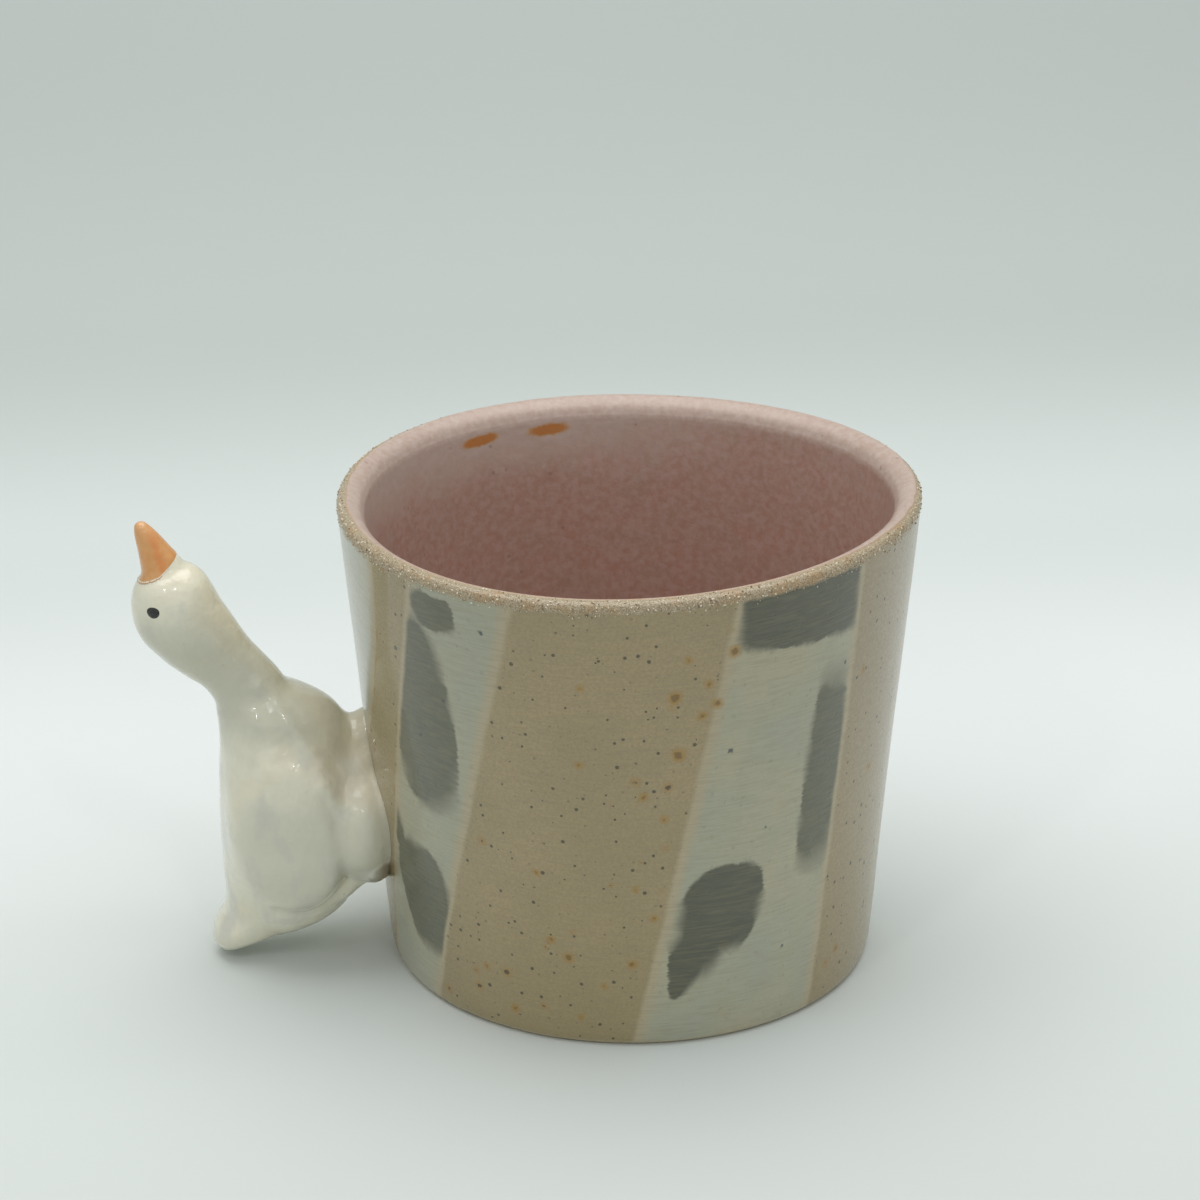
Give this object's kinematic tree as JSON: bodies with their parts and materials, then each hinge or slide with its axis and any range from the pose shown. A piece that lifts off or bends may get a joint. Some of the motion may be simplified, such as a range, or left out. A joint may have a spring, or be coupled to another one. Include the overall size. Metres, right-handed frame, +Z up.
{
  "type": "duck-shaped mug",
  "caption": "Hand-built stoneware mug with a tapered round cup and a long-necked duck that stands against its side as the handle.",
  "frame": {"origin": "centre of the cup's flat foot, on the surface that it stands on", "axes": "+Z up, +X from the duck through the cup, -Y towards the duck's right wing"},
  "size_m": [0.1237, 0.088, 0.077],
  "materials": {
    "stoneware": "matt speckled stoneware with satin celadon and slate bands",
    "pink_glaze": "satin",
    "white_glaze": "gloss",
    "orange_glaze": "gloss",
    "black_glaze": "gloss"
  },
  "bodies": {
    "root": {"cup_wall": "stoneware", "cup_floor": "pink_glaze", "lower_lug": "white_glaze", "upper_lug": "white_glaze", "duck_body": "white_glaze", "duck_tail": "white_glaze", "right_wing": "white_glaze", "left_wing": "white_glaze", "duck_neck_and_head": "white_glaze", "duck_beak": "orange_glaze", "right_eye": "black_glaze", "left_eye": "black_glaze"}
  },
  "joints": []
}
